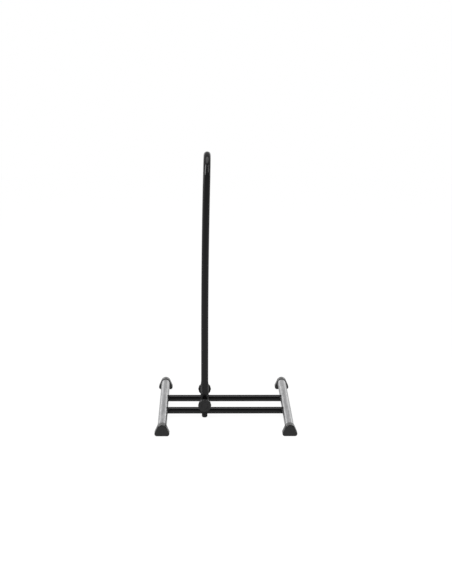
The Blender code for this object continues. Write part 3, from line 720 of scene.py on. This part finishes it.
def jaw_outline():
    """The jaw seen along Y, about the rail's axis: a rounded tongue below, and shoulders up to the ear."""
    tongue = TONGUE_WIDTH / 2
    corner_z = TONGUE_CORNER - tongue_drop
    shoulder_top = jaw_half_width - tongue - TONGUE_SHOULDER
    points = arc((tongue - TONGUE_CORNER, corner_z), TONGUE_CORNER, -90, 0, TONGUE_STEPS)
    points += [(tongue, -TONGUE_SHOULDER), (jaw_half_width, shoulder_top)]
    points += arc((0, pivot_rise), jaw_half_width, 0, 180, EAR_STEPS)
    points += [(-jaw_half_width, shoulder_top), (-tongue, -TONGUE_SHOULDER)]
    return points + arc((TONGUE_CORNER - tongue, corner_z), TONGUE_CORNER, 180, 270, TONGUE_STEPS)


def jaw(name, face, place):
    """One jaw, its local Y outward from the rail's middle plane: ear above, half a seat, tongue below."""
    seat = rail_radius + FIT
    upper = math.degrees(math.acos(ear_inner / seat))
    lower = -math.degrees(math.acos(JAW_PARTING / seat))
    bottom = -tongue_drop - PAST
    top = pivot_rise + jaw_half_width + PAST
    side = [(JAW_PARTING, bottom), (face, bottom), (face, top), (ear_inner, top)]
    side += arc((0, 0), seat, upper, lower, SEAT_STEPS)
    past = jaw_half_width + PAST
    bm = bmesh.new()
    skin(bm, [[Vector((x, y, z)) for y, z in side] for x in (-past, past)])
    block = finish_mesh(name, bm, Matrix.Identity(4))
    outline = prism(jaw_outline(), -PAST, face + PAST, Matrix.Identity(4))
    shaped = carve(block, [outline], "INTERSECT")
    softened = bpy.data.objects.new("softened", shaped)
    bpy.context.collection.objects.link(softened)
    bevel = softened.modifiers.new("edges", "BEVEL")
    bevel.width = JAW_EDGE
    bevel.segments = JAW_EDGE_STEPS
    bevel.limit_method = "ANGLE"
    bevel.angle_limit = math.radians(JAW_EDGE_ANGLE)
    bpy.context.view_layer.update()
    graph = bpy.context.evaluated_depsgraph_get()
    mesh = bpy.data.meshes.new_from_object(softened.evaluated_get(graph))
    bpy.data.objects.remove(softened)
    mesh.transform(place)
    return mesh


for end, outward in (("front", -1), ("rear", 1)):
    for half, facing, face in (("outer", outward, outer_face), ("inner", -outward, inner_face)):
        node = f"{end}_{half}_jaw"
        place = Matrix.Translation((pivot.x, outward * rail_y, axis_height))
        if facing < 0:
            place = place @ HALF_TURN
        stud_axis = place @ Matrix.Translation((0, 0, pivot_rise)) @ TO_REAR
        screw_axis = place @ Matrix.Translation((0, 0, -JAW_SCREW_DROP)) @ TO_REAR
        cutters = [rod(M6_HOLE, -PAST, face + PAST, stud_axis), rod(M4_HOLE, -PAST, face + PAST, screw_axis)]
        if half == "inner":
            for width, height, axis in ((M6_NUT_WIDTH, M6_NUT_HEIGHT, stud_axis),
                                        (M4_NUT_WIDTH, M4_NUT_HEIGHT, screw_axis @ FLAT_DOWN)):
                start = face - height - 2 * FIT
                bm = bmesh.new()
                skin(bm, [hexagon(width + NUT_ROOM, z, POCKET_SIDES) for z in (start, face + PAST)])
                cutters.append(finish_mesh("pocket", bm, axis))
        add_piece(f"jaw_{half}_{end}", carve(jaw(node, face, place), cutters), nylon_finish, node)


# Jaw screws and nuts
# A black M4 button head screw and a plated nut hold the two tongues together under the rail, so that
# the knob above it closes the clamp. The nut's pocket is in the inner jaw.
M4_RADIUS, M4_PITCH = 0.002, 0.0007
M4_HEAD_RADIUS, M4_KEY = 0.0036, 0.0025
HEAD_RIM_SHARE, HEAD_TOP_SHARE, HEAD_STEPS = 0.12, 0.6, 6
OXIDE, OXIDE_DARK, OXIDE_RUBBED = (0.045, 0.045, 0.047), (0.035, 0.035, 0.037), (0.11, 0.11, 0.11)
OXIDE_OILED, OXIDE_DULL = 0.30, 0.46
OXIDE_GRAIN_HEIGHT = 0.000008
clamp_frames = {"front": Matrix.Translation((pivot.x, -rail_y, axis_height)) @ TO_FRONT,
                "rear": Matrix.Translation((pivot.x, rail_y, axis_height)) @ TO_REAR}


def black_oxide():
    """Black oxide on steel: dark metal under a thin oil film, rubbed to grey in places."""
    material, tree, shader = new_material("black_oxide", OXIDE, roughness=0.36, metallic=1.0)
    rub = noise(tree, scale=260, detail=4.0)
    grain = noise(tree, scale=1800, detail=2.0)
    rubbed = spread(tree, rub, low=0.0, high=1.0, start=0.45, end=0.8)
    tint = blend_colours(tree, rubbed, OXIDE_DARK, OXIDE_RUBBED)
    tree.links.new(tint, shader.inputs["Base Color"])
    tree.links.new(spread(tree, rub, OXIDE_OILED, OXIDE_DULL), shader.inputs["Roughness"])
    add_bumps(tree, shader, [(grain, OXIDE_GRAIN_HEIGHT)])
    return material


oxide_finish = black_oxide()
for end, place in clamp_frames.items():
    sunk = Matrix.Translation((0, 0, -JAW_SCREW_DROP)) @ place
    node = f"{end}_jaw_screw"
    seat = outer_face + FIT
    node_low, node_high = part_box(node)
    m4_head = (node_high.y - node_low.y) - inner_face - seat
    rim = m4_head * HEAD_RIM_SHARE
    crown = math.acos(HEAD_TOP_SHARE)
    round_head = [(M4_RADIUS, seat), (M4_HEAD_RADIUS - rim, seat)]
    for step in range(HEAD_STEPS + 1):
        angle = crown * step / HEAD_STEPS
        rise = (m4_head - rim) * math.sin(angle) / math.sin(crown)
        round_head.append((M4_HEAD_RADIUS * math.cos(angle), seat + rim + rise))
    jaw_screw = screw(node, M4_RADIUS, M4_PITCH, -inner_face, 0.0, round_head, M4_KEY, sunk)
    add_piece(f"screw_{end}", jaw_screw, oxide_finish, node)
    node = f"{end}_jaw_nut"
    jaw_nut = nut(node, M4_NUT_WIDTH, M4_HOLE, FIT - inner_face, M4_NUT_HEIGHT, sunk @ FLAT_DOWN)
    add_piece(f"nut_lower_{end}", jaw_nut, zinc_finish, node)


# Stud nuts
# A plated M6 nut lies in a six-sided pocket in the ear of each inner jaw. It takes the thread of the
# knob, and so draws the two jaws and the hoop's flat end together.
for end, place in clamp_frames.items():
    node = f"{end}_stud_nut"
    raised = Matrix.Translation((0, 0, pivot_rise)) @ place
    stud_nut = nut(node, M6_NUT_WIDTH, M6_HOLE, FIT - inner_face, M6_NUT_HEIGHT, raised)
    add_piece(f"nut_upper_{end}", stud_nut, zinc_finish, node)


# Hoop
# One 20 mm steel tube, bent over the wheel and powder coated black like the rails. Its ends are pressed
# from round to 14 mm thick, rounded about the pivot and cross drilled for a sleeve. Towards its top it
# bows a few millimetres to the right, as its bending left it.
HOOP_WALL = 0.0015
HOOP_SIDES = 64
HOOP_BEND_STEPS, HOOP_TAPER_STEPS, HOOP_BOW_STEPS = 48, 16, 24
FLAT_RISE, FLAT_TAPER, FLAT_END_STEPS = 0.015, 0.0224, 48
BOW_START, BOW = 0.252, 0.0064
hoop_low, hoop_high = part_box("hoop_tube")
hoop_radius = hoop_high.y - rail_y
hoop_top = hoop_high.z
flat_half_width = pivot.z - hoop_low.z


def hoop_section(thickness, wall):
    """The tube's section: round, or two half rounds pushed apart where it is pressed thinner."""
    straight = math.pi * (2 * hoop_radius - thickness) / 2
    reach = thickness / 2 - wall
    points = []
    for step in range(HOOP_SIDES):
        angle = 2 * math.pi * (step + 0.5) / HOOP_SIDES
        x = reach * math.cos(angle)
        points.append((x + math.copysign(straight / 2, x), reach * math.sin(angle)))
    return points


def hoop_path():
    """Places along the tube from the front end to the rear: y, z, the bend so far and the thickness."""
    bend_height = hoop_top - hoop_radius - rail_y
    rise = [(pivot.z - flat_half_width - PAST, flat_thickness), (pivot.z + FLAT_RISE, flat_thickness)]
    for step in range(1, HOOP_TAPER_STEPS + 1):
        share = step / HOOP_TAPER_STEPS
        eased = share * share * (3 - 2 * share)
        thickness = flat_thickness + (2 * hoop_radius - flat_thickness) * eased
        rise.append((pivot.z + FLAT_RISE + FLAT_TAPER * share, thickness))
    for step in range(HOOP_BOW_STEPS):
        rise.append((BOW_START + (bend_height - BOW_START) * step / HOOP_BOW_STEPS, 2 * hoop_radius))
    path = [(-rail_y, z, 0.0, thickness) for z, thickness in rise]
    for step in range(HOOP_BEND_STEPS + 1):
        bend = math.pi * step / HOOP_BEND_STEPS
        path.append((-rail_y * math.cos(bend), bend_height + rail_y * math.sin(bend), bend, 2 * hoop_radius))
    return path + [(rail_y, z, math.pi, thickness) for z, thickness in reversed(rise)]


def hoop_rings(wall):
    """The tube's outer skin, or with a wall its bore, bowed a little to the right towards its top."""
    rings = []
    for y, z, bend, thickness in hoop_path():
        across = Vector((0, math.cos(bend), -math.sin(bend)))
        ring = []
        for x, outward in hoop_section(thickness, wall):
            point = Vector((pivot.x + x, y, z)) + across * outward
            lean = max(0.0, point.z - BOW_START) / (hoop_top - BOW_START)
            point.x += BOW * lean * lean
            ring.append(point)
        rings.append(ring)
    return rings


bm = bmesh.new()
skin(bm, hoop_rings(0) + list(reversed(hoop_rings(HOOP_WALL))), through=True)
tube = finish_mesh("hoop_tube", bm, Matrix.Identity(4))
past_side = flat_half_width + PAST
past_end = flat_half_width + 2 * PAST
past_clamps = rail_y + hoop_radius + PAST
rounding = [(past_side, -past_end), (past_side, 0)]
rounding += arc((0, 0), flat_half_width, 0, -180, FLAT_END_STEPS)
rounding += [(-past_side, 0), (-past_side, -past_end)]
pivot_place = Matrix.Translation((pivot.x, 0, pivot.z))
bush_radius = (bush_high.z - bush_low.z) / 2
end_rounding = prism(rounding, -past_clamps, past_clamps, pivot_place)
bush_hole = rod(bush_radius + FIT, -past_clamps, past_clamps, pivot_place @ TO_REAR)
hoop_finish = black_coat("hoop_coat", along=(1.0, 1.0, 0.25))
add_piece("hoop", carve(tube, [end_rounding, bush_hole]), hoop_finish, "hoop_tube")


# Pivot sleeves
# A short plated steel sleeve lies through each flat end of the hoop, as long as the end is thick. It
# turns on the stud, and keeps the knob from crushing the tube.
SLEEVE_CHAMFER = 0.0003
for end, outward in (("front", -1), ("rear", 1)):
    node = f"{end}_pivot_bush"
    half = flat_thickness / 2
    profile = [(M6_HOLE, half - SLEEVE_CHAMFER), (M6_HOLE + SLEEVE_CHAMFER, half),
               (bush_radius - SLEEVE_CHAMFER, half), (bush_radius, half - SLEEVE_CHAMFER)]
    rings = [circle(r, z, NUT_SIDES) for r, z in profile]
    rings += [circle(r, -z, NUT_SIDES) for r, z in reversed(profile)]
    bm = bmesh.new()
    skin(bm, rings, through=True)
    place = Matrix.Translation((pivot.x, outward * rail_y, pivot.z)) @ TO_REAR
    add_piece(f"sleeve_{end}", finish_mesh(node, bm, place), zinc_finish, node)


# Knob washers
# A plated steel washer lies between each knob and the outer jaw, and moves out with the knob. The
# punch has rounded its edge on the knob's side.
WASHER_EDGE, WASHER_EDGE_STEPS = 0.0003, 4
for end, place in clamp_frames.items():
    node = f"{end}_knob_washer"
    node_low, node_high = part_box(node)
    start = (node_low.y if end == "rear" else -node_high.y) - rail_y
    thick = node_high.y - node_low.y
    wide = (node_high.z - node_low.z) / 2
    corner = (start + thick - WASHER_EDGE, wide - WASHER_EDGE)
    profile = [(M6_HOLE, start), (wide, start)]
    profile += [(r, z) for z, r in arc(corner, WASHER_EDGE, 90, 0, WASHER_EDGE_STEPS)]
    profile.append((M6_HOLE, start + thick))
    rings = [circle(r, z, NUT_SIDES) for r, z in profile]
    bm = bmesh.new()
    skin(bm, rings, through=True)
    raised = Matrix.Translation((0, 0, pivot_rise)) @ place
    add_piece(f"washer_{end}", finish_mesh(node, bm, raised), zinc_finish, node)


# Knob studs
# A plated M6 rod, threaded all along, is moulded into the back of each knob. It runs through the
# washer, the jaws and the hoop's sleeve into the stud nut.
STUD_SHARP_ANGLE = 50
knob_back = start + thick + FIT
for end, place in clamp_frames.items():
    node = f"{end}_knob_stud"
    node_low, node_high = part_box(node)
    tip = -(rail_y + node_high.y) if end == "front" else node_low.y - rail_y
    length = node_high.y - node_low.y
    bm = bmesh.new()
    skin(bm, thread(M6_RADIUS, M6_PITCH, tip, tip + length))
    raised = Matrix.Translation((0, 0, pivot_rise)) @ place
    add_piece(f"stud_{end}", finish_mesh(node, bm, raised, STUD_SHARP_ANGLE), zinc_finish, node)


# Knobs
# A moulded hand knob closes each clamp: a thick disc with a fluted rim to grip, a crowned face with a
# shallow ring round its middle, and a small boss that bears on the washer.
KNOB_THICKNESS = 0.0095
KNOB_EDGE, KNOB_EDGE_STEPS = 0.0026, 8
KNOB_FLUTES, KNOB_FLUTE_DEPTH = 12, 0.0008
KNOB_BOSS, KNOB_BOSS_HEIGHT = 0.0075, 0.0006
KNOB_SOCKET = 0.008
KNOB_RING, KNOB_RING_WIDTH, KNOB_RING_DEPTH, KNOB_RING_FLANK = 0.0085, 0.0010, 0.0004, 0.3
KNOB_RIM_SHARE, KNOB_INNER_SHARE, KNOB_MIDDLE_SHARE = 0.8, 0.3, 0.12
KNOB_SIDES = 192
knob_low, knob_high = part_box("rear_knob")
knob_radius = (knob_high.z - knob_low.z) / 2
knob_dome = knob_high.y - rail_y - knob_back - KNOB_BOSS_HEIGHT - KNOB_THICKNESS


def fluted(radius, height, depth):
    """A ring with shallow flutes all round it."""
    points = []
    for step in range(KNOB_SIDES):
        angle = 2 * math.pi * step / KNOB_SIDES
        reach = radius - depth * (1 - math.cos(KNOB_FLUTES * angle)) / 2
        points.append(Vector((reach * math.cos(angle), reach * math.sin(angle), height)))
    return points


def knob_rings():
    """The knob from the bottom of its stud hole, over its boss, back, rim and crowned face to the middle."""
    back = knob_back + KNOB_BOSS_HEIGHT
    face = back + KNOB_THICKNESS
    flat = knob_radius - KNOB_EDGE
    rings = [
        circle(M6_HOLE, knob_back + KNOB_SOCKET, KNOB_SIDES),
        circle(M6_HOLE, knob_back, KNOB_SIDES),
        circle(KNOB_BOSS, knob_back, KNOB_SIDES),
        circle(KNOB_BOSS, back, KNOB_SIDES),
        fluted(flat, back, 0.0),
    ]
    turns = quarter_turn(KNOB_EDGE_STEPS)[1:]
    for turn in turns:
        rings.append(fluted(flat + KNOB_EDGE * math.sin(turn), back + KNOB_EDGE * (1 - math.cos(turn)),
                            KNOB_FLUTE_DEPTH * math.sin(turn)))
    for turn in reversed(turns):
        rings.append(fluted(flat + KNOB_EDGE * math.sin(turn), face - KNOB_EDGE * (1 - math.cos(turn)),
                            KNOB_FLUTE_DEPTH * math.sin(turn)))
    dips = [
        (flat, 0.0),
        (KNOB_RIM_SHARE * flat, 0.0),
        (KNOB_RING + KNOB_RING_WIDTH, 0.0),
        (KNOB_RING + KNOB_RING_WIDTH * (1 - KNOB_RING_FLANK), 1.0),
        (KNOB_RING + KNOB_RING_WIDTH * KNOB_RING_FLANK, 1.0),
        (KNOB_RING, 0.0),
        (KNOB_INNER_SHARE * flat, 0.0),
        (KNOB_MIDDLE_SHARE * flat, 0.0),
    ]
    for reach, dip in dips:
        crown = math.sin(math.pi / 2 * (1 - reach / flat))
        rings.append(circle(reach, face + knob_dome * crown - KNOB_RING_DEPTH * dip, KNOB_SIDES))
    return rings


knob_finish = nylon("knob_nylon", smooth=0.26, dull=0.36, grain_height=0.000012, gloss=0.5)
for end, place in clamp_frames.items():
    node = f"{end}_knob"
    bm = bmesh.new()
    skin(bm, knob_rings())
    raised = Matrix.Translation((0, 0, pivot_rise)) @ place
    add_piece(f"knob_{end}", finish_mesh(node, bm, raised), knob_finish, node)


# Studio
# A white floor carries the stand and its faint shadow. Glossy surfaces mirror a room that is white
# behind the stand and to its left, dimmer higher up, and dark in front but for a low grey glow, and a grey
# floor that darkens towards the photographer. Three soft boxes light the stand.
FLOOR_RADIUS, FLOOR_SIDES = 4.0, 96
FLOOR_BOUNCE, FLOOR_SHADED, FLOOR_GLOW = 0.82, 0.10, 0.94
NEAR_MIRRORED, NEAR_Y = 0.36, -0.4
FAR_MIRRORED, FAR_Y = 0.22, -2.4
DARK_FRONT, WHITE_BACK = -0.45, 0.10
HORIZON_GLOW, HORIZON_RISE = 1.0, 0.05
HIGH_GLOW, HIGH_RISE = 0.38, 0.36
FRONT_GLOW, FRONT_RISE, FRONT_DARK_RISE = 0.22, 0.25, 0.6
LEFT_REACH = -0.30
FILL = 0.55
WHITE = (1.0, 1.0, 1.0, 1.0)
LOW_TARGET, HOOP_TARGET = (0.0, 0.0, 0.3), (0.0, 0.0, 0.6)

bm = bmesh.new()
bm.faces.new([bm.verts.new(point) for point in circle(FLOOR_RADIUS, 0.0, FLOOR_SIDES)])
floor_mesh = bpy.data.meshes.new("floor")
bm.to_mesh(floor_mesh)
bm.free()
floor = bpy.data.objects.new("floor", floor_mesh)
bpy.context.collection.objects.link(floor)
floor_material, tree, shader = new_material("floor_white", (FLOOR_BOUNCE,) * 3, roughness=0.9)
shader.inputs["Specular IOR Level"].default_value = 0.0
shader.inputs["Emission Color"].default_value = WHITE
path = tree.nodes.new("ShaderNodeLightPath").outputs
mirrored = combine(tree, "MAXIMUM", path["Is Glossy Ray"], path["Is Transmission Ray"])
seen = combine(tree, "MAXIMUM", path["Is Camera Ray"], mirrored)
shade = blend_colours(tree, seen, (FLOOR_BOUNCE,) * 3, (FLOOR_SHADED,) * 3)
tree.links.new(shade, shader.inputs["Base Color"])
place = tree.nodes.new("ShaderNodeTexCoord")
parts = tree.nodes.new("ShaderNodeSeparateXYZ")
tree.links.new(place.outputs["Object"], parts.inputs["Vector"])
mirrored_grey = spread(tree, parts.outputs["Y"], FAR_MIRRORED, NEAR_MIRRORED, FAR_Y, NEAR_Y)
to_camera = combine(tree, "MULTIPLY", path["Is Camera Ray"], FLOOR_GLOW)
to_mirrors = combine(tree, "MULTIPLY", mirrored, mirrored_grey)
glow = combine(tree, "MAXIMUM", to_camera, to_mirrors)
tree.links.new(glow, shader.inputs["Emission Strength"])
floor.data.materials.append(floor_material)

world = bpy.data.worlds.new("surround")
bpy.context.scene.world = world
world.use_nodes = True
tree = world.node_tree
white = tree.nodes["Background"]
white.inputs["Color"].default_value = WHITE
path = tree.nodes.new("ShaderNodeLightPath").outputs
direction = tree.nodes.new("ShaderNodeTexCoord")
parts = tree.nodes.new("ShaderNodeSeparateXYZ")
tree.links.new(direction.outputs["Generated"], parts.inputs["Vector"])
sideways = combine(tree, "MULTIPLY", parts.outputs["X"], LEFT_REACH)
turned = combine(tree, "ADD", parts.outputs["Y"], sideways)
behind = spread(tree, turned, 0.0, 1.0, DARK_FRONT, WHITE_BACK)
height = spread(tree, parts.outputs["Z"], HORIZON_GLOW, HIGH_GLOW, HORIZON_RISE, HIGH_RISE)
front = spread(tree, parts.outputs["Z"], FRONT_GLOW, 0.0, FRONT_RISE, FRONT_DARK_RISE)
bright = combine(tree, "MULTIPLY", behind, height)
around = combine(tree, "MAXIMUM", bright, front)
mirrored = combine(tree, "MULTIPLY", path["Is Glossy Ray"], around)
seen = combine(tree, "MAXIMUM", path["Is Camera Ray"], path["Is Transmission Ray"])
lit = combine(tree, "MULTIPLY", path["Is Diffuse Ray"], FILL)
shown = combine(tree, "MAXIMUM", seen, mirrored)
strength = combine(tree, "MAXIMUM", shown, lit)
tree.links.new(strength, white.inputs["Strength"])


def soft_box(name, power, width, height, place, target):
    """A flat lamp of this power in watts and size in metres, turned to a point of the stand."""
    data = bpy.data.lights.new(name, "AREA")
    data.shape = "RECTANGLE"
    data.size, data.size_y = width, height
    data.energy = power
    light = bpy.data.objects.new(name, data)
    light.location = place
    light.rotation_euler = (Vector(target) - Vector(place)).to_track_quat("-Z", "Y").to_euler()
    bpy.context.collection.objects.link(light)


soft_box("soft_box_top", power=12.0, width=2.2, height=1.2, place=(0.0, -0.15, 2.3), target=LOW_TARGET)
soft_box("soft_box_left", power=23.0, width=0.6, height=1.6, place=(-1.45, -1.1, 1.5), target=HOOP_TARGET)
soft_box("soft_box_right", power=10.0, width=0.6, height=1.5, place=(1.3, -1.36, 1.8), target=HOOP_TARGET)
